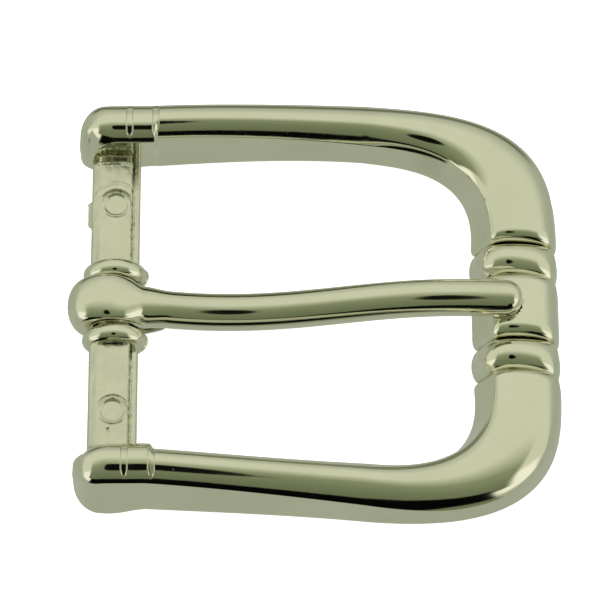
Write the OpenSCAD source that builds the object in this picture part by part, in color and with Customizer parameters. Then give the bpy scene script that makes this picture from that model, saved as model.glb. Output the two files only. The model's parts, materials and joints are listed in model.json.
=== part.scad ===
// Heel-bar belt buckle: a one-piece cast frame with a swinging prong.
// X runs from the heel bar to the front bar, Y across the belt, Z up out of the front face.
// The origin is under the middle of the buckle, on the surface it lies on.
// The casting is drawn bar by bar, and its bars meet face to face at the engraved grooves.

/* [Belt and overall size] */
// Width of the belt that the buckle takes
belt_w = 35; // [20:0.5:50]
// Total play between the belt's edges and the elbows
belt_play = 1.2; // [0.2:0.1:4]
// Distance from the heel bar's axis to the outer edge of the front bar
reach = 48.2; // [38:0.2:70]
// Width of the front bar's rounded face
front_w = 7.6; // [5:0.1:12]

/* [Side arms] */
// Width of an arm's rounded face at the heel end
arm_w_heel = 4.1; // [2.5:0.1:6]
// Width of an arm's rounded face where the corner begins
arm_w_corner = 4.9; // [3:0.1:8]
// How far the arms spread between the heel bar and the corners, on each side
arm_spread = 1.4; // [0:0.1:4]
// How far in from its inner crease an arm's crest lies, as a share of its width
arm_share = 0.44; // [0.3:0.02:0.6]
// Height of the rounded face above the side walls
dome_h = 1.5; // [1:0.05:2]
// Height of an arm's crease line above the heel bar's axis, at the heel end
crease_heel = 4.3; // [2.5:0.1:7]
// Height of the crease line above the heel bar's axis, where the corner begins
crease_corner = 1.5; // [0:0.1:3]
// Height of an arm's back, from the heel bar's axis, at the heel end
back_heel = -1.2; // [-1.8:0.1:0]
// Height of an arm's back, from the heel bar's axis, where the corner begins
back_corner = -2.1; // [-2.6:0.05:-0.5]
// Outward slope of the side walls, per unit of height
wall_draft = 0.11; // [0:0.01:0.3]
// Length of the corner along X
corner_len = 21; // [14:0.5:26]
// Squareness of the outer corner: 2 is an ellipse
corner_power = 3.1; // [2:0.1:4]
// Squareness of the inner corner
inner_power = 2.7; // [2:0.1:3]

/* [Elbows] */
// Extra width of an elbow, towards the belt
elbow_extra = 0.55; // [0:0.05:2]
// Distance from the heel bar's axis to the end of the elbow
nose_len = 3.9; // [3:0.1:6]
// Distance from the heel bar's axis to the shoulder where the elbow ends
elbow_len = 4.3; // [3:0.1:8]
// Depth of the engraved grooves
groove_depth = 0.22; // [0.05:0.01:0.4]
// Width of an engraved groove
groove_w = 0.9; // [0.4:0.05:1.5]
// Distance of the first groove from the heel bar's axis
groove_1 = 1.7; // [1:0.1:3]
// Distance of the second groove from the heel bar's axis
groove_2 = 4.6; // [3.5:0.1:8]

/* [Heel bar] */
// Width of the front of the bar that the strap folds round
bar_w = 4.4; // [3:0.1:6]
// Width of the back of that bar
bar_foot_w = 5.4; // [3:0.1:7]
// Thickness of that bar
bar_t = 2.9; // [2:0.1:4]
// Radius of the round journal that the prong turns on
journal_r = 1.9; // [1.2:0.05:2.6]
// Radius of the collars
collar_r = 3.3; // [2.6:0.1:4.2]
// Width of a collar
collar_w = 2.05; // [1:0.05:3]
// Diameter of the two ejector pin marks on the bar
pin_mark_d = 2.6; // [1:0.1:3]

/* [Front bar] */
// Height of the rounded face's crest above the heel bar's axis
front_crest = 1.5; // [0.5:0.1:4]
// Depth of the grooves between the beads, on the crown
bead_relief = 1.45; // [0.5:0.05:1.6]
// How far a bead swells out towards the belt, past the middle section
bead_swell = 0.65; // [0:0.05:1.2]
// Length of the middle section along Y
seat_len = 7.6; // [5:0.1:12]
// Length of a bead along Y
bead_len = 3.95; // [2:0.05:6]
// Height of the inner crease above the heel bar's axis
front_crease_in = -0.3; // [-1.5:0.1:1]
// Height of the outer crease above the heel bar's axis
front_crease_out = -1.6; // [-2.2:0.1:0]
// How far in from its inner crease the front bar's crest lies, as a share of its width
front_share = 0.34; // [0.3:0.02:0.6]
// Distance that the inner wall runs out towards its foot
front_slope = 1.8; // [0:0.1:3]
// Distance that the outer wall runs out towards its foot
front_flare = 0.2; // [0:0.05:0.6]

/* [Prong] */
// Diameter of the prong
prong_d = 4.05; // [2.5:0.05:5]
// Distance from the front bar's outer edge back to the prong's tip
tip_back = 4; // [3:0.1:8]
// Height of the prong's axis above the heel bar's axis, over the front bar
prong_high = 2.3; // [1.5:0.1:4]
// Depth of the prong's dip under the heel bar's axis
prong_dip = 1.05; // [0:0.05:2]
// Height of the prong's axis above the heel bar's axis, over the heel bar
prong_root = 1.4; // [0.5:0.1:2.5]
// Width of the eye along the heel bar
eye_w = 5.4; // [4:0.1:8]
// Outer radius of the eye
eye_r = 3.75; // [3:0.05:5]
// How far the eye's outside is set back behind the heel bar's axis
eye_back = 1.15; // [0:0.05:2]
// How far the eye's outside is set above the heel bar's axis
eye_up = 0.3; // [0:0.05:1]
// Length of the tucked tail that closes the eye
tail_len = 3.7; // [1:0.1:6]

/* [Fits] */
// Radial running clearance of the eye on its journal
eye_clear = 0.06; // [0.02:0.01:0.1]
// Play between the eye and each collar
side_play = 0.2; // [0.1:0.05:0.5]
// Gap between the prong and its notch in the front bar
notch_clear = 0.1; // [0.05:0.05:0.4]

/* [Hidden] */
$fn = 64;
DOME_STEPS = 14;
// How much of a groove's depth on the crown it cuts into the inner and outer walls
SIDE_CUT = 0.4;
OUTER_CUT = 0.3;
ROLL = 1.4;
TURNS = [0, 7, 14, 21, 28, 35, 42, 49, 56, 63, 70, 76, 81, 85, 86.2, 87.5, 88.7, 89.6, 90];
NOSE_STEPS = 6;

half_gap = (belt_w + belt_play) / 2;
inner_reach = reach - front_w;
prong_reach = reach - tip_back;
foot_z = min(eye_up - eye_r + 0.25, back_corner - 0.6);
mid_x = (reach + front_flare - (eye_r + eye_back)) / 2;
corner_x = reach - corner_len;
seat_y = seat_len / 2;
bead_y = seat_y + bead_len;
collar_in = eye_w / 2 + side_play;
prong_r = prong_d / 2;
nose_z = 1.0;
nose_foot = -2.1;
nickel = [0.78, 0.78, 0.68];

function mix(a, b, t) = a + (b - a) * t;
function blend(t) = t <= 0 ? 0 : t >= 1 ? 1 : t * t * (3 - 2 * t);
function roll(from_end) = 1 - sqrt(1 - pow(max(0, min(1, 1 - from_end / ROLL)), 2));

// The arm's lines as functions of x: t runs from 0 at the elbow to 1 at the corner
function along(x) = max(0, min(1, (x - nose_len) / (corner_x - nose_len)));
function crease_z(x) = mix(crease_heel, crease_corner, pow(along(x), 1.5));
function back_z(x) = mix(back_heel, back_corner, pow(along(x), 3));
function arm_w(x) = mix(arm_w_heel, arm_w_corner, pow(along(x), 2.5));
function arm_dome(x) = dome_h * mix(1, arm_w_corner / arm_w_heel, pow(along(x), 2.5));
function outer_y(x) = half_gap + elbow_extra + arm_w_heel + arm_spread * along(x);
function shoulder(x) = elbow_extra * (1 - blend((x - elbow_len) / 0.9));
function inner_y(x) = max(half_gap, outer_y(x) - arm_w(x) - shoulder(x));
function v_cut(x, at) = groove_depth * max(0, 1 - abs(x - at) / (groove_w / 2));
function groove(x) = v_cut(x, groove_1) + v_cut(x, groove_2);

// The turn of a quarter oval that falls by high over run and ends at this slope from upright
function arc_end(run, high, slope) = 2 * atan(sqrt(max(0.1, 1 - 2 * high / run * tan(slope))));

// A ring of a bar's section: from the outer foot up the wall, over the rounded face, down to the inner foot.
// The face is two quarter ovals that meet on its crest, share of the width in from the inner wall
function section(out, inn, z_out, z_in, foot, rise, draft_out, draft_in, share, slope) =
    let (width = norm(inn - out), d = (inn - out) / width, top = (z_out + z_in) / 2 + rise, half = DOME_STEPS / 2,
         end_out = arc_end(width * (1 - share), top - z_out, slope),
         end_in = arc_end(width * share, top - z_in, slope))
    concat(
        [[out[0] - d[0] * draft_out, out[1] - d[1] * draft_out, foot]],
        [for (i = [-half:half])
            let (end = i < 0 ? end_out : end_in, rim = i < 0 ? z_out : z_in, t = end * i / half,
                 s = width * (1 - share + (i < 0 ? 1 - share : share) * sin(t) / sin(end)))
            [out[0] + d[0] * s, out[1] + d[1] * s, rim + (top - rim) * (cos(t) - cos(end)) / (1 - cos(end))]],
        [[inn[0] + d[0] * draft_in, inn[1] + d[1] * draft_in, foot]]);

// The elbow's round end: it narrows, drops and tucks under towards the tip
function nose_ring(i) =
    let (a = 90 * i / NOSE_STEPS, s = sin(a), x = -nose_len * cos(a), foot = nose_foot + 0.9 * pow(1 - s, 3),
         out_y = outer_y(0) - 2.6 * pow(1 - s, 1.6), z = mix(nose_z, crease_heel, pow(s, 0.8)))
    section([x, out_y], [x, half_gap + 0.3 * (1 - s)], z, z, foot,
            arm_dome(0) * mix(0.25, 1, s), wall_draft * s * (z - foot), 0, arm_share, mix(3, 30, s * s));
// The grooves die out before the foot of the wall
function arm_ring(x) =
    let (g = groove(x), z = crease_z(x), foot = mix(nose_foot, back_z(x), blend(x / nose_len)),
         draft = wall_draft * (z - foot), clear = inner_y(x) > half_gap ? 1 : 0)
    section([x, outer_y(x) - g], [x, inner_y(x) + g * clear], z, z, foot, arm_dome(x) - g, draft + g,
            x < elbow_len + 0.9 ? 0 : draft, arm_share, 30);
// A point of the corner's outline, turned by a from its arm end towards its front end
function fan(a, span_x, span_y, power) =
    let (r = pow(pow(abs(cos(a)), power) + pow(abs(sin(a)), power), -1 / power))
    [corner_x + span_x * r * sin(a), bead_y + span_y * r * cos(a)];
function corner_ring(a) =
    let (t = a / 90, e = 1.53 * sin(a) - 0.53 * pow(sin(a), 2.9),
         rim = fan(a, reach - corner_x, outer_y(corner_x) - bead_y, corner_power),
         spread = arm_spread / (corner_x - nose_len) * (rim[0] - corner_x) * pow(1 - t, 3),
         cut = a > 45 ? bead_relief * roll(rim[1] - bead_y) : 0,
         in_rim = fan(a, inner_reach - corner_x, inner_y(corner_x) - bead_y, inner_power),
         out = [rim[0] - cut * OUTER_CUT, rim[1] + spread], inn = [in_rim[0] + cut * SIDE_CUT, in_rim[1]],
         draft = wall_draft * (crease_corner - back_corner))
    section(out, inn, mix(crease_corner, front_crease_out, e), mix(crease_corner, front_crease_in, e),
            mix(back_corner, foot_z, e), mix(arm_dome(corner_x), front_rise, e) - cut,
            mix(draft, front_flare, t), mix(draft, front_slope, t), mix(arm_share, front_share, e), mix(30, 9, e));

// A ring of the front bar at y, drawn in by cut all round and swelling towards the belt
front_rise = front_crest - (front_crease_in + front_crease_out) / 2;
function front_ring(y, cut, swell) =
    section([reach - cut * OUTER_CUT, y], [inner_reach + cut * SIDE_CUT - swell, y], front_crease_out,
            front_crease_in, foot_z, front_rise - cut, front_flare, front_slope, front_share, 9);

module skin(rings) {
    n = len(rings[0]);
    m = len(rings);
    polyhedron(
        points = [for (ring = rings) for (p = ring) p],
        faces = concat(
            [[for (k = [0:n - 1]) k]],
            [for (j = [0:m - 2]) for (k = [0:n - 1])
                let (a = j * n + k, b = j * n + (k + 1) % n)
                [a, a + n, b + n, b]],
            [[for (k = [n - 1:-1:0]) (m - 1) * n + k]]),
        convexity = 4);
}

module placed() {
    translate([-mid_x, 0, -foot_z]) children();
}

module arm() {
    edges = [for (c = [groove_1, groove_2]) for (s = [-1, 0, 1]) c + s * groove_w / 2];
    straight = concat([0.4], edges, [groove_2 + 1.2], [for (i = [2:9]) mix(nose_len, corner_x, i / 10)]);
    skin(concat(
        [for (i = [0:NOSE_STEPS]) nose_ring(i)],
        [for (x = straight) arm_ring(x)],
        [for (a = TURNS) corner_ring(a)]));
}

module upper_arm() {
    color(nickel) placed() arm();
}

module lower_arm() {
    color(nickel) placed() mirror([0, 1, 0]) arm();
}

// The bar's section is flat at the back, gently rounded in front, and its sides slope
module bar_section() {
    crown_r = 5;
    intersection() {
        polygon([[-bar_foot_w / 2, -bar_t / 2], [bar_foot_w / 2, -bar_t / 2],
                 [bar_w / 2, bar_t / 2], [-bar_w / 2, bar_t / 2]]);
        translate([0, bar_t / 2 - crown_r]) circle(r = crown_r);
    }
}

module along_y(from, to) {
    translate([0, to, 0]) rotate([90, 0, 0]) linear_extrude(to - from) children();
}

module heel_bar() {
    mark_y = mix(collar_in + collar_w, half_gap, 0.57);
    color([0.74, 0.74, 0.64]) placed() difference() {
        union() {
            for (side = [0, 1]) mirror([0, side, 0])
                along_y(collar_in + collar_w, half_gap) bar_section();
            translate([0, collar_in + collar_w, 0]) rotate([90, 0, 0])
                cylinder(r = journal_r, h = 2 * (collar_in + collar_w));
        }
        for (side = [-1, 1]) translate([0, side * mark_y, bar_t / 2 - 0.12])
            cylinder(d = pin_mark_d, h = 1);
    }
}

module collar() {
    edge = collar_w / 2;
    translate([0, collar_in + collar_w, 0]) rotate([90, 0, 0]) rotate_extrude() difference() {
        union() {
            square([collar_r - edge, collar_w]);
            translate([collar_r - edge, edge]) circle(r = edge);
        }
        square([journal_r, collar_w]);
    }
}

module upper_collar() {
    color(nickel) placed() collar();
}

module lower_collar() {
    color(nickel) placed() mirror([0, 1, 0]) collar();
}

module bead() {
    steps = 14;
    skin([for (i = [0:steps])
        let (turn = 180 * i / steps, cut = bead_len / 2 * (1 - sin(turn)))
        front_ring(seat_y + bead_len * (1 + cos(turn)) / 2, min(bead_relief, cut), bead_swell * sin(turn))]);
}

module upper_bead() {
    color(nickel) placed() bead();
}

module lower_bead() {
    color(nickel) placed() mirror([0, 1, 0]) bead();
}

module tip_rest() {
    ends = [0, 0.1, 0.35, 0.75, ROLL];
    ys = concat([for (s = ends) seat_y - s], [0], [for (i = [4:-1:0]) ends[i] - seat_y]);
    color(nickel) placed() difference() {
        skin([for (y = ys) front_ring(y, bead_relief * roll(seat_y - abs(y)), 0)]);
        translate([inner_reach - 6, 0, prong_high]) rotate([0, 90, 0])
            cylinder(r = prong_r + notch_clear, h = prong_reach - prong_r - inner_reach + 6);
        translate([prong_reach - prong_r, 0, prong_high]) sphere(r = prong_r + notch_clear);
    }
}

// The prong's axis: it falls from the eye to the dip, climbs, and crests over the front bar
dip_x = 0.29 * prong_reach;
level_x = 0.83 * prong_reach;
function prong_z(x) =
    x < dip_x ? -prong_dip + (prong_root + prong_dip) * pow(1 - x / dip_x, 2)
    : x < level_x ? mix(-prong_dip, prong_high, (1 - cos(180 * (x - dip_x) / (level_x - dip_x))) / 2)
    : prong_high;
function prong_ring(x, r) =
    let (a = atan((prong_z(x + 0.05) - prong_z(x - 0.05)) / 0.1), sides = 20)
    [for (k = [0:sides - 1])
        let (b = 360 * k / sides)
        [x - r * sin(b) * sin(a), r * cos(b), prong_z(x) + r * sin(b) * cos(a)]];

module shank() {
    tip_x = prong_reach - prong_r;
    bends = 26;
    tip_rings = 6;
    skin(concat(
        [for (i = [0:bends]) prong_ring(tip_x * i / bends, prong_r)],
        [for (i = [1:tip_rings])
            let (a = 86 * i / tip_rings)
            prong_ring(tip_x + prong_r * sin(a), prong_r * cos(a))]));
}

module eye() {
    edge = eye_r * 0.432;
    translate([-eye_back, eye_w / 2, eye_up]) rotate([90, 0, 0]) rotate_extrude() {
        square([eye_r - edge, eye_w]);
        translate([eye_r - edge, edge]) circle(r = edge);
        translate([eye_r - edge, eye_w - edge]) circle(r = edge);
        translate([0, edge]) square([eye_r, eye_w - 2 * edge]);
    }
}

module prong() {
    color([0.8, 0.8, 0.7]) placed() difference() {
        union() {
            shank();
            eye();
            translate([journal_r, -eye_w / 3, -journal_r - 0.3])
                cube([tail_len, eye_w * 2 / 3, journal_r]);
        }
        translate([0, eye_w, 0]) rotate([90, 0, 0]) cylinder(r = journal_r + eye_clear, h = 2 * eye_w);
        translate([-reach, -reach, foot_z - reach]) cube([2 * reach, 2 * reach, reach]);
    }
}

heel_bar();
upper_collar();
lower_collar();
upper_arm();
lower_arm();
upper_bead();
lower_bead();
tip_rest();
prong();
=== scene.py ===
import json
import math

import bmesh
import bpy
from mathutils import Matrix, Vector, noise


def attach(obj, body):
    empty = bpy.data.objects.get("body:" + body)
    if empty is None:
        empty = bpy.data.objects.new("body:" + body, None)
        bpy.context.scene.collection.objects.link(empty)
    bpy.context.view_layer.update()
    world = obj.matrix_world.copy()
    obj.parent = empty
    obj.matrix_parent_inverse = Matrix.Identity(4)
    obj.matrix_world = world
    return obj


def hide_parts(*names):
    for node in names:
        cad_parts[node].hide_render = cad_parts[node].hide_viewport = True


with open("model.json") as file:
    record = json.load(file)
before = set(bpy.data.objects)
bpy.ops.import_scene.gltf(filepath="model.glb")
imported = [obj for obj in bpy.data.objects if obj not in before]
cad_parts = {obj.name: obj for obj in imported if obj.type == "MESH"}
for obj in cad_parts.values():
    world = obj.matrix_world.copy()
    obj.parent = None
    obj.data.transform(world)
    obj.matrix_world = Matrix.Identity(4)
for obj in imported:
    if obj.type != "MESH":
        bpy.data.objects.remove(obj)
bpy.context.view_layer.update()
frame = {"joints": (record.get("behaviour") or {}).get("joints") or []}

# Every length below is in millimetres, measured from the heel bar's axis:
# x towards the front bar, y across the belt, z out of the buckle's front.
HEEL_AXIS = Vector(frame["joints"][0]["pos_m"])


def place_mm(x, y, z):
    return HEEL_AXIS + Vector((x, y, z)) / 1000


def mix(a, b, t):
    return a + (b - a) * t


def clamp(t, low=0.0, high=1.0):
    return max(low, min(high, t))


def ease(t):
    t = clamp(t)
    return t * t * (3 - 2 * t)


def quarter(t):
    """How far a quarter round has fallen, t of the way from its crown to its edge."""
    return 1 - math.sqrt(max(0.0, 1 - clamp(t) ** 2))


def bump(t):
    """One smooth hump, 1 at t = 0 and 0 from t = 1 outwards."""
    return ease(1 - abs(t))


# ---------------------------------------------------------------- sizes of the casting
# Half the clear gap between the elbows, and the front bar's outer and inner edges
HALF_GAP = 18.1
REACH = 48.2
INNER_REACH = 40.6
# An arm's width at the elbow and at the corner, and how far it leans outwards on the way there
ARM_WIDTH = 4.1
CORNER_WIDTH = 4.9
ARM_SPREAD = 1.4
CORNER_LEN = 21.0
CORNER_X = REACH - CORNER_LEN
# An arm's crest: its share of the width in from the inner wall, and its height over the creases
ARM_SHARE = 0.44
DOME = 1.5
# An arm's creases and its back, each at the elbow and at the corner
ARM_CREASE = (4.3, 1.5)
ARM_BACK = (-1.2, -2.1)
# How far an arm's walls lean out to the foot, for each mm of their height
WALL_LEAN = 0.11
# The elbow is wider than its arm up to a shoulder, and ends in a round nose
ELBOW_EXTRA = 0.55
SHOULDER = 4.35
SHOULDER_LEN = 0.45
NOSE = 3.9
NOSE_FOOT = -2.1
# The two engraved grooves across an elbow, and their half width, depth and slope
GROOVES = (1.7, 4.55)
GROOVE_HALF = 0.40
GROOVE_DEPTH = 0.17
GROOVE_SLOPE = 0.13
# The front bar: its foot, crest and creases, and the far ends of its middle section and its beads
FOOT = -3.2
FRONT_CREST = 1.5
CREASE_OUT = -1.6
CREASE_IN = -0.3
SEAT_Y = 3.8
BEAD_Y = 7.75

# ---------------------------------------------------------------- sections and lofts
# Steps in each stretch of a bar's section
BACK_STEPS, BEND_STEPS, WALL_STEPS, DOME_STEPS = 3, 5, 6, 72
# Rounding along a bar's foot
FOOT_ROUND = 0.3
# Each wall has one more point this close to its crease, so that the crease stays crisp
CREASE_POINT = 0.05
# Slope from upright at which a face leaves its walls, in degrees
EDGE = 30
# Points nearer than this are merged, and shorter edges dissolved, in metres
MERGE, SLIVER = 2e-7, 1e-7
# Edges that turn by more degrees than this are shaded as sharp
SHARP = 50


def straight(a, b, steps):
    return [(mix(a[0], b[0], i / steps), mix(a[1], b[1], i / steps)) for i in range(steps)]


def bend(a, corner, b, steps):
    """A curved corner from a to b."""
    points = []
    for i in range(steps):
        t = i / steps
        points.append(tuple(mix(mix(a[k], corner[k], t), mix(corner[k], b[k], t), t) for k in (0, 1)))
    return points


def towards(a, b, length):
    """The point that far from a on the way to b, but never as far as their middle."""
    span = math.dist(a, b)
    t = min(length, 0.45 * span) / span if span > 1e-9 else 0.0
    return (mix(a[0], b[0], t), mix(a[1], b[1], t))


def section(out, inn, z_out, z_in, foot, rise, flare_out, flare_in, crest,
            edge_out=EDGE, edge_in=EDGE, full=1.0, sink=0.0, cut=None):
    """A closed ring round a bar that stands on foot: back, outer wall, rounded face, inner wall, back.

    The face is two quarter ovals that meet on its crest, which lies crest of the width from the inner wall.
    edge_out and edge_in are the face's slope from upright, in degrees, where it leaves its walls,
    and full above 1 makes the face flatter over the crest. sink lowers the inner crease. cut gives the depth
    of an engraving from h, 1 on the crest and 0 at the walls, and t, the turn away from the crest."""
    width = math.dist(out, inn)
    d = ((inn[0] - out[0]) / width, (inn[1] - out[1]) / width)
    peak, top = width * (1 - crest), (z_out + z_in) / 2 + rise
    crease_in = (width, z_in - sink)
    foot_out, foot_in = (-flare_out, foot), (width + flare_in, foot)
    middle = ((foot_out[0] + foot_in[0]) / 2, foot)
    halves = []
    for run, rim, edge in ((peak, z_out, edge_out), (width - peak, z_in, edge_in)):
        fall = 1 - 2 * (top - rim) / run * math.tan(math.radians(edge))
        halves.append((run, top - rim, 2 * math.atan(math.sqrt(max(0.1, fall)))))
    face = []
    for i in range(DOME_STEPS + 1):
        u = 2 * i / DOME_STEPS - 1
        run, high, end = halves[0] if u < 0 else halves[1]
        t = u * end
        s = peak + math.copysign(run * abs(math.sin(t) / math.sin(end)) ** (1 / full), u)
        h = (math.cos(t) - math.cos(end)) / (1 - math.cos(end))
        z = top - high * (1 - h) - (sink * (1 - h) if t > 0 else 0)
        if cut:
            depth = cut(h, t)
            s -= depth * math.sin(t)
            z -= depth * math.cos(t)
        face.append((s, z))
    back_out, back_in = towards(foot_out, middle, FOOT_ROUND), towards(foot_in, middle, FOOT_ROUND)
    low_out, low_in = towards(foot_out, face[0], FOOT_ROUND), towards(foot_in, crease_in, FOOT_ROUND)
    high_out, high_in = towards(face[0], foot_out, CREASE_POINT), towards(crease_in, foot_in, CREASE_POINT)
    ring = straight(middle, back_out, BACK_STEPS)
    ring += bend(back_out, foot_out, low_out, BEND_STEPS)
    ring += straight(low_out, high_out, WALL_STEPS)
    ring += [high_out] + face[:-1]
    ring += [crease_in] + straight(high_in, low_in, WALL_STEPS)
    ring += bend(low_in, foot_in, back_in, BEND_STEPS)
    ring += straight(back_in, middle, BACK_STEPS)
    ring.append(middle)
    return [(out[0] + d[0] * s, out[1] + d[1] * s, z) for s, z in ring]


def loft(rings):
    """A skin through rings that all have the same number of points, closed round and at both ends."""
    rows, columns = len(rings) - 1, len(rings[0]) - 1
    skin = bmesh.new()
    bmesh.ops.create_grid(skin, x_segments=columns, y_segments=rows, size=1.0)
    for v in skin.verts:
        row, column = round((v.co.y + 1) / 2 * rows), round((v.co.x + 1) / 2 * columns)
        v.co = place_mm(*rings[row][column])
    bmesh.ops.remove_doubles(skin, verts=skin.verts, dist=MERGE)
    bmesh.ops.dissolve_degenerate(skin, edges=skin.edges, dist=SLIVER)
    bmesh.ops.holes_fill(skin, edges=[e for e in skin.edges if e.is_boundary], sides=0)
    bmesh.ops.recalc_face_normals(skin, faces=skin.faces)
    return skin


def keep(name, skin, body, node, finish):
    """Makes the finished piece, which rides on its body and stands for its node."""
    for e in skin.edges:
        if len(e.link_faces) == 2 and e.calc_face_angle(0) > math.radians(SHARP):
            e.smooth = False
    for f in skin.faces:
        f.smooth = True
    mesh = bpy.data.meshes.new(name)
    skin.to_mesh(mesh)
    skin.free()
    mesh.materials.append(finish)
    piece = bpy.data.objects.new(name, mesh)
    bpy.context.scene.collection.objects.link(piece)
    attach(piece, body)
    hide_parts(node)


def mirrored(skin):
    """The same shape on the other side of the buckle's middle line."""
    for v in skin.verts:
        v.co.y = -v.co.y
    bmesh.ops.reverse_faces(skin, faces=skin.faces)
    return skin


# ---------------------------------------------------------------- arms
def along(x):
    """How far x is on the way from the elbow, 0, to the corner, 1."""
    return clamp((x - NOSE) / (CORNER_X - NOSE))


def crease_z(x):
    return mix(*ARM_CREASE, along(x) ** 1.5)


def back_z(x):
    return mix(*ARM_BACK, along(x) ** 3)


def arm_width(x):
    return mix(ARM_WIDTH, CORNER_WIDTH, along(x) ** 2.5)


def arm_dome(x):
    return DOME * mix(1, CORNER_WIDTH / ARM_WIDTH, along(x) ** 2.5)


def outer_y(x):
    return HALF_GAP + ELBOW_EXTRA + ARM_WIDTH + ARM_SPREAD * along(x)


def past_shoulder(x):
    return ease((x - SHOULDER) / SHOULDER_LEN)


def inner_y(x):
    return max(HALF_GAP, outer_y(x) - arm_width(x) - ELBOW_EXTRA * (1 - past_shoulder(x)))


def engraving(x):
    """The grooves' cut at x: they are deepest on the crown and run out towards the creases."""
    def cut(h, t):
        reach = clamp((h - 0.32) / 0.45)
        half = GROOVE_HALF * math.sqrt(reach)
        depth = 0.0
        for at in GROOVES:
            depth += GROOVE_DEPTH * reach * ease((half - abs(x - at)) / GROOVE_SLOPE)
        return depth
    return cut if any(abs(x - at) < 0.5 for at in GROOVES) else None


# How far each side of the nose draws in, how far behind the bar's axis it starts to, and its length
NOSE_OUTER = (2.8, 1.1, 2.9)
NOSE_INNER = (1.3, 1.6, 2.4)
# The nose's tip: height of its creases, lift of its foot, share of the dome and slope at its walls
TIP_CREASE = 1.0
TIP_LIFT = 0.9
TIP_DOME = 0.25
TIP_EDGE = 3
# The arch over the heel bar: height of its ends, and half its span
ARCH_LOW = -0.6
ARCH_HALF = 2.55


def drawn_in(x, by, start, length):
    return by * quarter((-start - x) / length)


def nose_ring(turn):
    """The elbow's round end: it narrows, drops, and its inner crease falls in an arch over the heel bar."""
    s, x = math.sin(turn), -NOSE * math.cos(turn)
    out = (x, outer_y(0) - drawn_in(x, *NOSE_OUTER))
    inn = (x, HALF_GAP + drawn_in(x, *NOSE_INNER))
    crease = mix(TIP_CREASE, crease_z(0), s ** 0.8)
    foot = NOSE_FOOT + TIP_LIFT * (1 - s) ** 3
    arch = ARCH_LOW + (crease_z(0) - ARCH_LOW) * math.sqrt(max(0.0, 1 - (x / ARCH_HALF) ** 2))
    sink = crease - clamp(arch, foot + 0.05, crease)
    edge = mix(TIP_EDGE, EDGE, s ** 6)
    return section(out, inn, crease, crease, foot, DOME * mix(TIP_DOME, 1, s),
                   WALL_LEAN * s * (crease - foot), 0, ARM_SHARE, edge, edge, sink=sink)


def arm_ring(x):
    z, foot = crease_z(x), mix(NOSE_FOOT, back_z(x), ease(x / NOSE))
    flare = WALL_LEAN * (z - foot)
    return section((x, outer_y(x)), (x, inner_y(x)), z, z, foot, arm_dome(x), flare, flare * past_shoulder(x),
                   ARM_SHARE, cut=engraving(x))


def fan(turn, span_x, span_y, power):
    """A point on the corner's rounded outline, turn from its arm end towards its front end."""
    c, s = math.cos(turn), math.sin(turn)
    r = (c ** power + s ** power) ** (-1 / power)
    return (CORNER_X + span_x * r * s, BEAD_Y + span_y * r * c)


# The corner's outlines, from a rounder to a squarer one as the power grows
OUTER_POWER = 3.1
INNER_POWER = 2.7
# The face of the corner turns into the front bar's sooner than its outline does, by this lead
FACE_LEAD = 0.53
FACE_POWER = 2.9
# The front bar's face: its rise, share and flatness, as for an arm, the slopes at its walls, their flares
FRONT_RISE = FRONT_CREST - (CREASE_IN + CREASE_OUT) / 2
FRONT_SHARE = 0.34
FRONT_FULL = 1.12
FRONT_EDGE_OUT = 8
FRONT_EDGE_IN = 10
FRONT_FLARE_OUT = 0.2
FRONT_FLARE_IN = 1.8
# Depth of the grooves between the beads on the crown, and how much of it they cut into the walls
GROOVE_DEEP = 1.45
SIDE_CUT = 0.4
OUTER_CUT = 0.3
# Length over which the corner and the middle section roll down into their grooves
CORNER_ROLL = 1.45
REST_ROLL = 1.35
CREVICE_DEEP = 0.55
CREVICE_HALF = 0.12


def crevice(from_end):
    """The sharp crease at the bottom of a groove, where two rolls meet."""
    return CREVICE_DEEP * ease(1 - from_end / CREVICE_HALF)


def corner_ring(turn):
    """The corner's ring at one turn, which joins the arm's section to the front bar's."""
    t, s = turn / math.radians(90), math.sin(turn)
    e = (1 + FACE_LEAD) * s - FACE_LEAD * s ** FACE_POWER
    rim = fan(turn, REACH - CORNER_X, outer_y(CORNER_X) - BEAD_Y, OUTER_POWER)
    inn = fan(turn, INNER_REACH - CORNER_X, inner_y(CORNER_X) - BEAD_Y, INNER_POWER)
    spread = ARM_SPREAD / (CORNER_X - NOSE) * (rim[0] - CORNER_X) * (1 - t) ** 3
    left = rim[1] - BEAD_Y
    cut = GROOVE_DEEP * quarter(1 - left / CORNER_ROLL) + crevice(left) if turn > math.radians(45) else 0.0
    crease, back = ARM_CREASE[1], ARM_BACK[1]
    flare = WALL_LEAN * (crease - back)
    return section((rim[0] - OUTER_CUT * cut, rim[1] + spread), (inn[0] + SIDE_CUT * cut, inn[1]),
                   mix(crease, CREASE_OUT, e), mix(crease, CREASE_IN, e), mix(back, FOOT, e),
                   mix(arm_dome(CORNER_X), FRONT_RISE, mix(e, e ** 3, 0.4)) - cut,
                   mix(flare, FRONT_FLARE_OUT, t), mix(flare, FRONT_FLARE_IN, t),
                   mix(ARM_SHARE, FRONT_SHARE, e), mix(EDGE, FRONT_EDGE_OUT, e),
                   mix(EDGE, FRONT_EDGE_IN, e), mix(1, FRONT_FULL, e ** 4))


# Distance between rings over a groove, over the shoulder and elsewhere, and the least distance that is kept
FINE_STEP, SHOULDER_STEP, COARSE_STEP, LEAST_STEP = 0.04, 0.05, 0.3, 0.015
# How far the rings round a groove reach, and how far the nose's tip is domed
GROOVE_ROOM = 0.6
CAP_DOME = 0.12
NOSE_STEPS = 26


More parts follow.
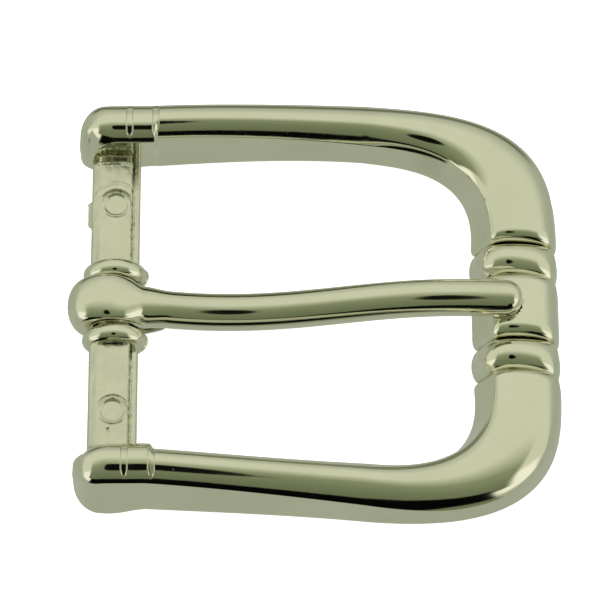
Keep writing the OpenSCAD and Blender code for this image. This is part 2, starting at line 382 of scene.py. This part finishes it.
def arm():
    """The whole arm: nose, elbow, side bar and corner, up to the bead's groove."""
    fine = [at + FINE_STEP * i for at in GROOVES for i in range(-13, 14)]
    shoulder = [SHOULDER + SHOULDER_STEP * i for i in range(11)]
    coarse = [COARSE_STEP * i for i in range(1, int(CORNER_X / COARSE_STEP))]
    coarse = [x for x in coarse if all(abs(x - at) > GROOVE_ROOM for at in GROOVES)]
    stations = sorted(fine + shoulder + coarse)
    stations = [x for i, x in enumerate(stations) if i == 0 or x - stations[i - 1] > LEAST_STEP]
    tip = nose_ring(0.0)
    middle = [sum(p[k] for p in tip) / len(tip) for k in range(3)]
    cap = [[(mix(middle[0] - CAP_DOME, x, s), mix(middle[1], y, s), mix(middle[2], z, s)) for x, y, z in tip]
           for s in (0.25, 0.6, 0.85)]
    rings = cap + [nose_ring(math.radians(90 * i / NOSE_STEPS)) for i in range(NOSE_STEPS)]
    rings += [arm_ring(x) for x in [0.0] + stations]
    # the turns crowd together towards the groove at the corner's end
    turns = [90 * (i / 110) for i in range(96)] + [78.5 + 11.5 * i / 46 for i in range(1, 45)]
    turns += [89.6, 89.68, 89.76, 89.82, 89.88, 89.94, 90]
    rings += [corner_ring(math.radians(t)) for t in turns]
    return loft(rings)


# ---------------------------------------------------------------- front bar
# A bead where it is fullest: how far it stands inwards, its inner crease, flare, share and flatness
BEAD_BULGE = 1.5
BEAD_CREASE_IN = -2.0
BEAD_FLARE_IN = 0.45
BEAD_SHARE = 0.42
BEAD_FULL = 0.95


def front_ring(y, cut, swell=0.0):
    """The front bar at y, drawn in by cut, and rounded out over its inner wall as it swells to 1."""
    inner = INNER_REACH + SIDE_CUT * cut - BEAD_BULGE * swell
    crease_in = mix(CREASE_IN, BEAD_CREASE_IN, swell)
    rise = FRONT_CREST - (CREASE_OUT + crease_in) / 2
    return section((REACH - OUTER_CUT * cut, y), (inner, y), CREASE_OUT, crease_in, FOOT, rise - cut,
                   FRONT_FLARE_OUT, mix(FRONT_FLARE_IN, BEAD_FLARE_IN, swell),
                   mix(FRONT_SHARE, BEAD_SHARE, swell), FRONT_EDGE_OUT, FRONT_EDGE_IN,
                   mix(FRONT_FULL, BEAD_FULL, swell))


def bead():
    """The upper bead, between its groove with the corner and its groove with the middle section."""
    steps = 56
    half, middle = (BEAD_Y - SEAT_Y) / 2, (BEAD_Y + SEAT_Y) / 2
    rings = []
    for i in range(steps + 1):
        turn = math.pi * i / steps
        cut = half * (1 - math.sin(turn))
        cut = GROOVE_DEEP * math.tanh((cut / GROOVE_DEEP) ** 3) ** (1 / 3)
        cut += crevice(half * (1 - abs(math.cos(turn))))
        rings.append(front_ring(middle + half * math.cos(turn), cut, math.sin(turn) ** 0.7))
    return loft(rings)


# The prong's radius, how far it reaches and its height there, which the trough for its tip follows too
PRONG_R = 2.025
PRONG_REACH = 44.2
PRONG_HIGH = 2.3
TIP_X = PRONG_REACH - PRONG_R
# The trough: its clearance round the prong, the softness of its rim, and how deep points may lie to be moved
TROUGH_GAP = 0.1
TROUGH_RIM = 0.09
TROUGH_FLOOR = -2.0


def scooped(point):
    """Lowers a point of the middle section into the trough that the prong's tip lies in."""
    x, y, z = point
    r = PRONG_R + TROUGH_GAP
    gone = r * r - y * y - max(0.0, x - TIP_X) ** 2
    if gone <= 0 or z < TROUGH_FLOOR:
        return point
    trough = prong_z(min(x, TIP_X)) - math.sqrt(gone)
    if z > trough + TROUGH_RIM:
        return (x, y, trough)
    if z > trough - TROUGH_RIM:
        k = (trough + TROUGH_RIM - z) / (2 * TROUGH_RIM)
        return (x, y, mix(trough, z, k) - TROUGH_RIM * k * (1 - k))
    return point


def tip_rest():
    """The front bar's middle section, with the trough in it."""
    steps = 150
    rings = []
    for i in range(steps + 1):
        t = 2 * i / steps - 1
        y = -SEAT_Y * (1.5 * t - 0.5 * t ** 3)
        cut = GROOVE_DEEP * quarter((abs(y) - SEAT_Y + REST_ROLL) / REST_ROLL) + crevice(SEAT_Y - abs(y))
        rings.append([scooped(p) for p in front_ring(y, cut)])
    return loft(rings)


# ---------------------------------------------------------------- heel bar and collars
# A collar: its inner end, width and bore, the radius of its rims, and how far it swells between them
COLLAR_IN = 2.9
COLLAR_W = 2.05
COLLAR_BORE = 1.7
COLLAR_RIM = 1.95
COLLAR_SWELL = 1.0
# A collar is longer along x than it is high, stands a little forward, and has a ledge under its front
COLLAR_STRETCH = 1.17
COLLAR_SHIFT = 0.15
COLLAR_LEDGE = 0.25
# Radius of the bar where it passes through the collars and the eye
JOURNAL_R = 1.9

# The bar's section, from the middle of its back round by its rear side, as (x, z, steps to the next point):
# back and rear wall, crowned face, the slot along the parting line, and the step in front of it
BAR_SECTION = ((0.0, -1.45, 4), (-2.2, -1.45, 2), (-2.42, -1.38, 2), (-2.5, -1.15, 5), (-2.5, -0.1, 5),
               (-2.5, 0.4, 2), (-2.38, 0.72, 8), (-1.5, 1.3, 3), (-1.15, 1.4, 14), (0.0, 1.47, 16),
               (1.3, 1.4, 6), (1.74, 1.28, 3), (1.88, 1.12, 3), (1.92, -0.1, 3), (1.96, -0.6, 2),
               (2.10, -0.6, 3), (2.16, -0.1, 5), (2.58, -0.3, 3), (2.73, -0.5, 4), (2.73, -1.2, 2),
               (2.66, -1.38, 2), (2.45, -1.45, 4))
# The two marks of the ejector pins: their places along the bar and across it, and their radius
MARKS = (12.0, -12.9)
MARK_X = 0.2
MARK_R = 1.3
# A small pit in the bar's face
PIT = (-0.25, -15.2)
# Where the flash stands along the bar, and where the rough lips before the elbows start
FLASH = (9.7, 12.9)
LIP_Y = 17.2
BAR_STEPS = 360


def bar_outline():
    points = []
    for i, (x, z, steps) in enumerate(BAR_SECTION):
        after = BAR_SECTION[(i + 1) % len(BAR_SECTION)]
        points += straight((x, z), after, steps)
    return points + [points[0]]


def bar_ring(y, outline):
    """The bar at y: a plain journal inside the eye and collars, and as it left the die outside them."""
    round_part = 1 - ease((abs(y) - COLLAR_IN - COLLAR_W * 0.6) / 0.3)
    ring = []
    for x, z in outline:
        if round_part > 0:
            far = math.hypot(x, z)
            x, z = mix(x, x / far * JOURNAL_R, round_part), mix(z, z / far * JOURNAL_R, round_part)
        face = ease((z - 0.5) / 0.6) * (1 - round_part)
        rough = noise.noise(Vector((x * 1.7, y * 0.9, z * 1.7)) + Vector((3, 0, 0)))
        z += face * 0.03 * rough
        for side in MARKS:
            far = math.hypot(x - MARK_X, y - side)
            z += face * (-0.14 * ease((MARK_R - far) / 0.14) + 0.10 * bump((far - MARK_R - 0.14) / 0.22))
            z += face * 0.05 * bump((far - 2.65) / 0.28) * ease((y - side) / 1.5) * (1 if side > 0 else 0.3)
            crescent = bump((far - MARK_R - 0.42) / 0.22) * ease((y - side - 0.3) / 0.9)
            z -= face * 0.22 * crescent * (1 if side > 0 else 0.5)
        z -= face * 0.2 * bump(math.hypot(x - PIT[0], y - PIT[1]) / 0.35)
        # the parting line, torn rather than trimmed
        if z < 1.2 and 1.85 < x < 2.2 and round_part == 0:
            x += (0.09 * noise.noise(Vector((4.0, y * 1.9, 0.0)))
                  + 0.05 * noise.noise(Vector((9.0, y * 6.0, 0.0))))
        # a rough lip where the bar runs into each elbow, with a gap behind it
        lip = abs(y) - LIP_Y - 0.12 * noise.noise(Vector((x * 2.1, 7.0, 0.0)))
        z += face * 0.16 * bump(lip / 0.35) * (1 + noise.noise(Vector((x * 3.3, y * 3.3, 5.0))))
        z -= face * 0.75 * ease((lip - 0.25) / 0.2)
        # flash that was left standing on the parting line
        if x < -2.3 and -0.4 < z < 0.8 and round_part == 0:
            nub = ease((y - FLASH[0]) / 0.3) * ease((FLASH[1] - y) / 0.2)
            x -= nub * (0.42 + 0.1 * noise.noise(Vector((0.0, y * 2.5, 1.0)))) * bump((z - 0.15) / 0.5)
        ring.append((x, y, z))
    return ring


def heel_bar():
    outline = bar_outline()
    ys = [-HALF_GAP + 2 * HALF_GAP * i / BAR_STEPS for i in range(BAR_STEPS + 1)]
    return loft([bar_ring(y, outline) for y in ys])


def collar_ring(angle):
    """The collar's round edge at one angle about the bar, from its inner face over to its outer face."""
    c, s = math.cos(angle), math.sin(angle)
    ledge = ease((c - 0.15) / 0.25) * ease((0.02 - s) / 0.06)
    ring = []
    steps = 22
    for i in range(steps + 1):
        turn = math.pi * i / steps
        radius = COLLAR_RIM + COLLAR_SWELL * math.sin(turn) ** 0.8
        wide = radius * mix(COLLAR_STRETCH, 1.0, s * s) + COLLAR_LEDGE * ledge
        ring.append((wide * c + COLLAR_SHIFT, COLLAR_IN + COLLAR_W * (1 - math.cos(turn)) / 2, radius * s))
    ring += [(COLLAR_BORE * c, y, COLLAR_BORE * s) for y in (COLLAR_IN + COLLAR_W, COLLAR_IN)]
    return ring + [ring[0]]


def collar():
    steps = 132
    return loft([collar_ring(2 * math.pi * i / steps) for i in range(steps + 1)])


# ---------------------------------------------------------------- prong
# The prong's axis drops from the eye to its dip, rises until it is level, and falls a little to its tip
DIP_X = 0.29 * PRONG_REACH
DIP_Z = -1.05
DIP_DROP = 2.45
LEVEL_X = 0.83 * PRONG_REACH
TIP_FALL = 0.009
# Where the straight rod takes over from the bent end, and its number of steps
SHANK_X = 3.2
SHANK_STEPS = 130
TIP_STEPS = 14


def prong_z(x):
    """Height of the prong's axis at x."""
    if x < DIP_X:
        return DIP_Z + DIP_DROP * (1 - x / DIP_X) ** 2
    if x < LEVEL_X:
        return mix(DIP_Z, PRONG_HIGH, (1 - math.cos(math.pi * (x - DIP_X) / (LEVEL_X - DIP_X))) / 2)
    return PRONG_HIGH - TIP_FALL * (x - LEVEL_X) ** 2


# How the prong's end is bent round the bar, from the tucked tail under it to the neck:
# outer point x, z; inner point x, z; half width; flatness of the inner face (1 is flat on the bar)
EYE_STEPS = 6
EYE = ((5.75, -2.45, 5.75, -2.25, 0.75, 0.3), (5.55, -2.8, 5.5, -2.1, 1.25, 0.4),
       (4.7, -2.95, 4.6, -2.1, 1.55, 0.5), (3.4, -3.05, 3.2, -2.1, 1.85, 0.7),
       (2.2, -3.12, 1.9, -2.0, 2.2, 0.9), (1.1, -3.16, 0.9, -1.8, 2.45, 1.0),
       (0.0, -3.17, 0.0, -1.99, 2.6, 1.0), (-1.75, -3.05, -0.97, -1.75, 2.68, 1.0),
       (-3.55, -2.2, -1.66, -1.1, 2.7, 1.0), (-4.6, -0.95, -1.97, -0.35, 2.7, 1.0),
       (-4.92, 0.4, -1.97, 0.3, 2.7, 1.0), (-4.62, 1.75, -1.8, 0.88, 2.7, 1.0),
       (-3.75, 2.85, -1.45, 1.38, 2.7, 1.0), (-2.45, 3.52, -1.0, 1.72, 2.7, 1.0),
       (-1.1, 3.79, -0.4, 1.95, 2.69, 1.0), (0.1, 3.72, 0.3, 1.97, 2.66, 0.9),
       (1.1, 3.4, 0.98, 1.73, 2.6, 0.8), (1.9, 3.06, 1.6, 1.2, 2.52, 0.6),
       (2.6, 2.77, 1.98, 0.4, 2.42, 0.4), (3.3, 2.47, 2.2, -0.7, 2.32, 0.2))


def spline(points, at):
    """A smooth curve through all the points; at counts them from 0."""
    i = min(int(at), len(points) - 2)
    t = at - i
    p = [points[clamp(k, 0, len(points) - 1)] for k in (i - 1, i, i + 1, i + 2)]
    return [b + 0.5 * t * (c - a + t * (2 * a - 5 * b + 4 * c - d + t * (3 * (b - c) + d - a)))
            for a, b, c, d in zip(*p)]


def prong_section(outer, inner, half_width, flat):
    """An oval ring between an outer and an inner point of the bend."""
    steps = 64
    middle = ((outer[0] + inner[0]) / 2, (outer[1] + inner[1]) / 2)
    n = (outer[0] - middle[0], outer[1] - middle[1])
    ring = []
    for i in range(steps + 1):
        turn = 2 * math.pi * i / steps
        c, s = math.cos(turn), math.sin(turn)
        power = 2 + (0.0 if c > 0 else 4.0) * flat
        k = (abs(c) ** power + abs(s) ** power) ** (-1 / power)
        ring.append((middle[0] + n[0] * k * c, half_width * k * s, middle[1] + n[1] * k * c))
    return ring


def prong():
    """The whole prong: tucked tail, eye, neck, shank and round tip."""
    bent = [spline(EYE, i / EYE_STEPS) for i in range(EYE_STEPS * (len(EYE) - 1) + 1)]
    stations = [prong_section(p[0:2], p[2:4], p[4], clamp(p[5])) for p in bent]
    xs = [SHANK_X + (TIP_X - SHANK_X) * i / SHANK_STEPS for i in range(SHANK_STEPS + 1)]
    tip = [math.radians(90 * i / TIP_STEPS) for i in range(1, TIP_STEPS)]
    for x, turn in [(x, 0.0) for x in xs] + [(TIP_X, t) for t in tip]:
        slope = (prong_z(x + 0.05) - prong_z(x - 0.05)) / 0.1
        n = Vector((-slope, 1)).normalized()
        r = PRONG_R * math.cos(turn) ** 0.8
        axis = Vector((x + PRONG_R * 0.98 * math.sin(turn), prong_z(x)))
        width = r * (1 + 0.15 * (1 - ease((x - 3.0) / 3.2)))
        stations.append(prong_section(tuple(axis + n * r), tuple(axis - n * r), width, 0.0))
    return loft(stations)


# ---------------------------------------------------------------- finishes
class Finish:
    """A material being put together from shader nodes."""

    def __init__(self, name):
        self.material = bpy.data.materials.new(name)
        self.material.use_nodes = True
        self.tree = self.material.node_tree
        self.shader = self.tree.nodes["Principled BSDF"]
        self.place = self.node("ShaderNodeTexCoord").outputs["Object"]

    def node(self, kind, inputs=None, **settings):
        made = self.tree.nodes.new(kind)
        for key, value in settings.items():
            setattr(made, key, value)
        for key, value in (inputs or {}).items():
            if isinstance(value, bpy.types.NodeSocket):
                self.tree.links.new(value, made.inputs[key])
            else:
                made.inputs[key].default_value = value
        return made

    def noise(self, scale, detail=3.0, roughness=0.5, stretch=(1, 1, 1)):
        placed = self.node("ShaderNodeMapping", {"Vector": self.place, "Scale": stretch}).outputs[0]
        made = self.node("ShaderNodeTexNoise", {"Vector": placed, "Scale": scale, "Detail": detail,
                                               "Roughness": roughness})
        return made.outputs["Fac"]

    def ranged(self, value, low, high, to_low, to_high):
        made = self.node("ShaderNodeMapRange", {"Value": value, "From Min": low, "From Max": high,
                                               "To Min": to_low, "To Max": to_high})
        return made.outputs["Result"]

    def ramp(self, value, stops):
        made = self.node("ShaderNodeValToRGB", {"Fac": value})
        band = made.color_ramp
        while len(band.elements) < len(stops):
            band.elements.new(0.5)
        for element, (at, colour) in zip(band.elements, stops):
            element.position, element.color = at, (*colour, 1)
        return made.outputs["Color"]

    def bumped(self, height, strength, distance, under=None):
        inputs = {"Height": height, "Strength": strength, "Distance": distance}
        if under:
            inputs["Normal"] = under
        return self.node("ShaderNodeBump", inputs).outputs["Normal"]

    def set(self, **inputs):
        for key, value in inputs.items():
            socket = self.shader.inputs[key.replace("_", " ")]
            if isinstance(value, bpy.types.NodeSocket):
                self.tree.links.new(value, socket)
            else:
                socket.default_value = value
        return self.material


def bright_nickel():
    """Bright plate over a polished casting: clear reflections, faint ripple, cloudy patches and tiny pits."""
    f = Finish("bright_nickel")
    patches = f.noise(140, 3, 0.55)
    colour = f.ramp(patches, [(0.3, (0.80, 0.79, 0.665)), (0.7, (0.85, 0.835, 0.715))])
    rough = f.ranged(f.noise(420, 4, 0.6), 0.3, 0.75, 0.055, 0.12)
    ripple = f.bumped(f.noise(260, 2, 0.4), 0.05, 0.0004)
    pits = f.bumped(f.ranged(f.noise(2600, 2, 0.5), 0.72, 0.8, 0.0, 1.0), 0.12, 0.00004, ripple)
    return f.set(Base_Color=colour, Metallic=1.0, Roughness=rough, Normal=pits)


def as_cast_nickel():
    """Plate over the casting's own skin, which was never polished: satin, cloudy and slightly lumpy."""
    f = Finish("as_cast_nickel")
    patches = f.noise(320, 5, 0.6)
    colour = f.ramp(patches, [(0.3, (0.72, 0.71, 0.60)), (0.7, (0.84, 0.825, 0.70))])
    rough = f.ranged(f.noise(900, 4, 0.6), 0.3, 0.7, 0.16, 0.32)
    skin = f.bumped(f.noise(1300, 4, 0.6), 0.22, 0.00008)
    lumps = f.bumped(f.noise(420, 3, 0.5, stretch=(1, 0.45, 1)), 0.4, 0.0003, skin)
    return f.set(Base_Color=colour, Metallic=1.0, Roughness=rough, Normal=lumps)


def prong_nickel():
    """The prong's plate: bright, with light draw marks along it and rubbing wear."""
    f = Finish("prong_nickel")
    patches = f.noise(170, 3, 0.5, stretch=(0.5, 1, 1))
    colour = f.ramp(patches, [(0.3, (0.79, 0.78, 0.655)), (0.7, (0.85, 0.835, 0.71))])
    rough = f.ranged(f.noise(500, 4, 0.6, stretch=(0.35, 1, 1)), 0.3, 0.75, 0.07, 0.14)
    draw = f.bumped(f.noise(900, 3, 0.5, stretch=(0.12, 1, 1)), 0.05, 0.00005)
    return f.set(Base_Color=colour, Metallic=1.0, Roughness=rough, Normal=draw)


# ---------------------------------------------------------------- build
BRIGHT, AS_CAST, PRONG_PLATE = bright_nickel(), as_cast_nickel(), prong_nickel()
keep("upper_arm_casting", arm(), "frame", "upper_arm", BRIGHT)
keep("lower_arm_casting", mirrored(arm()), "frame", "lower_arm", BRIGHT)
keep("upper_bead_casting", bead(), "frame", "upper_bead", BRIGHT)
keep("lower_bead_casting", mirrored(bead()), "frame", "lower_bead", BRIGHT)
keep("tip_rest_casting", tip_rest(), "frame", "tip_rest", BRIGHT)
keep("heel_bar_casting", heel_bar(), "frame", "heel_bar", AS_CAST)
keep("upper_collar_casting", collar(), "frame", "upper_collar", BRIGHT)
keep("lower_collar_casting", mirrored(collar()), "frame", "lower_collar", BRIGHT)
keep("prong_bent_rod", prong(), "prong", "prong", PRONG_PLATE)


# ---------------------------------------------------------------- floor, light tent and camera
def floor():
    mesh = bpy.data.meshes.new("floor")
    sheet = bmesh.new()
    bmesh.ops.create_grid(sheet, x_segments=1, y_segments=1, size=3.0)
    sheet.to_mesh(mesh)
    sheet.free()
    f = Finish("pale_floor")
    grain = f.ramp(f.noise(900, 3), [(0.3, (0.955, 0.955, 0.955)), (0.7, (0.97, 0.97, 0.97))])
    f.set(Base_Color=grain, Roughness=0.9, Emission_Color=(1, 1, 1, 1), Emission_Strength=0.72)
    mesh.materials.append(f.material)
    made = bpy.data.objects.new("floor", mesh)
    # just under the buckle, so that no two faces share a plane
    made.location.z = -0.0002
    bpy.context.scene.collection.objects.link(made)
    made.visible_glossy = False


def light_tent():
    """A round tent of light cloth that only the metal sees, with a dark opening on the camera's side.

    Its bands make the long highlights and the dark streaks on the metal."""
    mesh = bpy.data.meshes.new("light_tent")
    ball = bmesh.new()
    bmesh.ops.create_icosphere(ball, subdivisions=5, radius=2.0)
    bmesh.ops.reverse_faces(ball, faces=ball.faces)
    ball.to_mesh(mesh)
    ball.free()
    made = bpy.data.objects.new("light_tent", mesh)
    bpy.context.scene.collection.objects.link(made)
    f = Finish("tent_cloth")

    def maths(operation, *values):
        made_node = f.node("ShaderNodeMath", operation=operation)
        for i, value in enumerate(values):
            if isinstance(value, bpy.types.NodeSocket):
                f.tree.links.new(value, made_node.inputs[i])
            else:
                made_node.inputs[i].default_value = value
        return made_node.outputs[0]

    unit = f.node("ShaderNodeVectorMath", {0: f.place}, operation="NORMALIZE").outputs[0]
    part = f.node("ShaderNodeSeparateXYZ", {"Vector": unit})
    x, y, z = part.outputs

    def smooth(value, low, high, to_low=0.0, to_high=1.0):
        inputs = {"Value": value, "From Min": low, "From Max": high, "To Min": to_low, "To Max": to_high}
        return f.node("ShaderNodeMapRange", inputs, interpolation_type="SMOOTHSTEP").outputs["Result"]

    def band(value, low, high, soft):
        """1 between two angles and 0 outside them, with soft ends."""
        return maths("MULTIPLY", smooth(value, low - soft, low + soft), smooth(value, high + soft, high - soft))

    def over(under, colour, mask):
        colour = colour if isinstance(colour, bpy.types.NodeSocket) else (*colour, 1)
        return f.node("ShaderNodeMix", {"Factor": mask, 6: under, 7: colour}, data_type="RGBA").outputs[2]

    def stops(value, *colours):
        """Colours at angles in degrees, from straight down (-90) by the camera's side and the top to 270."""
        places = [((angle + 90) / 360, colour) for angle, colour in colours]
        return f.ramp(f.ranged(value, -90, 270, 0, 1), places)

    # rise runs from the camera's horizon (0) over the top (90) to the far horizon (180),
    # and side is the angle out of that plane; both are in degrees
    rise = maths("MULTIPLY", maths("ARCTAN2", z, maths("MULTIPLY", y, -1)), 180 / math.pi)
    rise = maths("ADD", rise, maths("MULTIPLY", maths("LESS_THAN", rise, -90), 360))
    side = maths("MULTIPLY", maths("ARCSINE", x), 180 / math.pi)
    cream, pale, grey = (0.68, 0.71, 0.56), (0.43, 0.47, 0.39), (0.40, 0.435, 0.35)
    strip_light, far_shade = (1.0, 1.0, 0.86), (0.16, 0.18, 0.12)
    room_black, lens_black = (0.002, 0.002, 0.002), (0.003, 0.003, 0.003)
    cloth = stops(rise, (-90, pale), (-40, grey), (-8, (0.45, 0.47, 0.36)), (12, cream), (140, cream),
                  (172, (0.46, 0.49, 0.39)), (216, grey), (270, pale))
    cloth = over(cloth, far_shade, maths("MULTIPLY", band(side, -36, 36, 8), band(rise, 180, 202, 6)))
    strips = maths("MAXIMUM", band(side, 40, 78, 6), band(side, -78, -40, 6))
    cloth = over(cloth, strip_light, maths("MULTIPLY", strips, band(rise, -8, 62, 8)))
    opening = band(side, -38, 38, 2.5)
    shade = stops(rise, (-90, pale), (-36, (0.39, 0.425, 0.34)), (-29, (0.19, 0.20, 0.115)),
                  (-22, (0.165, 0.18, 0.10)), (14, (0.14, 0.17, 0.095)), (50, (0.20, 0.23, 0.135)),
                  (76, (0.26, 0.30, 0.18)), (90, (0.45, 0.48, 0.34)), (104, cream))
    cloth = over(cloth, shade, maths("MULTIPLY", opening, band(rise, -85, 20, 2)))
    cloth = over(cloth, shade, maths("MULTIPLY", band(side, -50, 50, 4), band(rise, 17, 110, 2)))
    # the room's dark stands higher towards the front bar's side
    lift = smooth(side, 6, 22, 0, 11)
    room = band(maths("SUBTRACT", rise, lift), -24, 16, 1.0)
    cloth = over(cloth, room_black, maths("MULTIPLY", opening, room))
    # a dark oval where the camera stands, with its half width and half height in degrees
    lens_rise, lens_wide, lens_high = 64, 9, 14
    across = maths("POWER", maths("DIVIDE", maths("ABSOLUTE", side), lens_wide), 2.0)
    up = maths("POWER", maths("DIVIDE", maths("ABSOLUTE", maths("ADD", rise, -lens_rise)), lens_high), 2.0)
    oval = maths("MULTIPLY", maths("ADD", maths("ADD", across, up), -0.9), 5.0)
    lens = f.node("ShaderNodeClamp", {"Value": maths("SUBTRACT", 1.0, oval)}).outputs[0]
    cloth = over(cloth, lens_black, lens)
    f.set(Base_Color=(0, 0, 0, 1), Roughness=1.0, Emission_Color=cloth, Emission_Strength=1.0)
    f.shader.inputs["Specular IOR Level"].default_value = 0.0
    mesh.materials.append(f.material)
    made.visible_camera = made.visible_diffuse = made.visible_shadow = False
    made.visible_transmission = made.visible_volume_scatter = False


def studio():
    scene = bpy.context.scene
    world = bpy.data.worlds.new("studio")
    world.use_nodes = True
    world.node_tree.nodes["Background"].inputs["Color"].default_value = (1, 1, 1, 1)
    world.node_tree.nodes["Background"].inputs["Strength"].default_value = 1.0
    scene.world = world
    lamp = bpy.data.lights.new("overhead_softbox", "AREA")
    lamp.shape, lamp.size, lamp.energy = "DISK", 0.8, 2.0
    box = bpy.data.objects.new("overhead_softbox", lamp)
    box.location = (0.1, 0.25, 0.9)
    box.rotation_euler = (-Vector(box.location)).to_track_quat("-Z", "Y").to_euler()
    box.visible_glossy = False
    scene.collection.objects.link(box)
    scene.view_settings.view_transform = "Standard"


# The camera's place about the buckle, in degrees, its distance in metres and its lens in millimetres
ELEVATION, AZIMUTH, ROLL = 63.075, -0.126, 0.098
DISTANCE = 0.4519
TARGET_X = 20.9
SENSOR = 36.0
LENS = 245.7007
SHIFT = (-0.0004902, 0.0029085)


def camera():
    """Looks down from the belt's lower edge."""
    elevation, azimuth, roll = math.radians(ELEVATION), math.radians(AZIMUTH), math.radians(ROLL)
    back = Vector((math.sin(azimuth) * math.cos(elevation), -math.cos(azimuth) * math.cos(elevation),
                   math.sin(elevation)))
    data = bpy.data.cameras.new("camera")
    data.sensor_width = SENSOR
    data.lens = LENS
    data.shift_x, data.shift_y = SHIFT
    data.clip_start, data.clip_end = 0.01, 20
    made = bpy.data.objects.new("camera", data)
    target = place_mm(TARGET_X, 0, 0)
    turn = (-back).to_track_quat("-Z", "Y").to_matrix().to_4x4()
    made.matrix_world = Matrix.Translation(target + back * DISTANCE) @ turn @ Matrix.Rotation(-roll, 4, "Z")
    bpy.context.scene.collection.objects.link(made)
    bpy.context.scene.camera = made


floor()
light_tent()
studio()
camera()
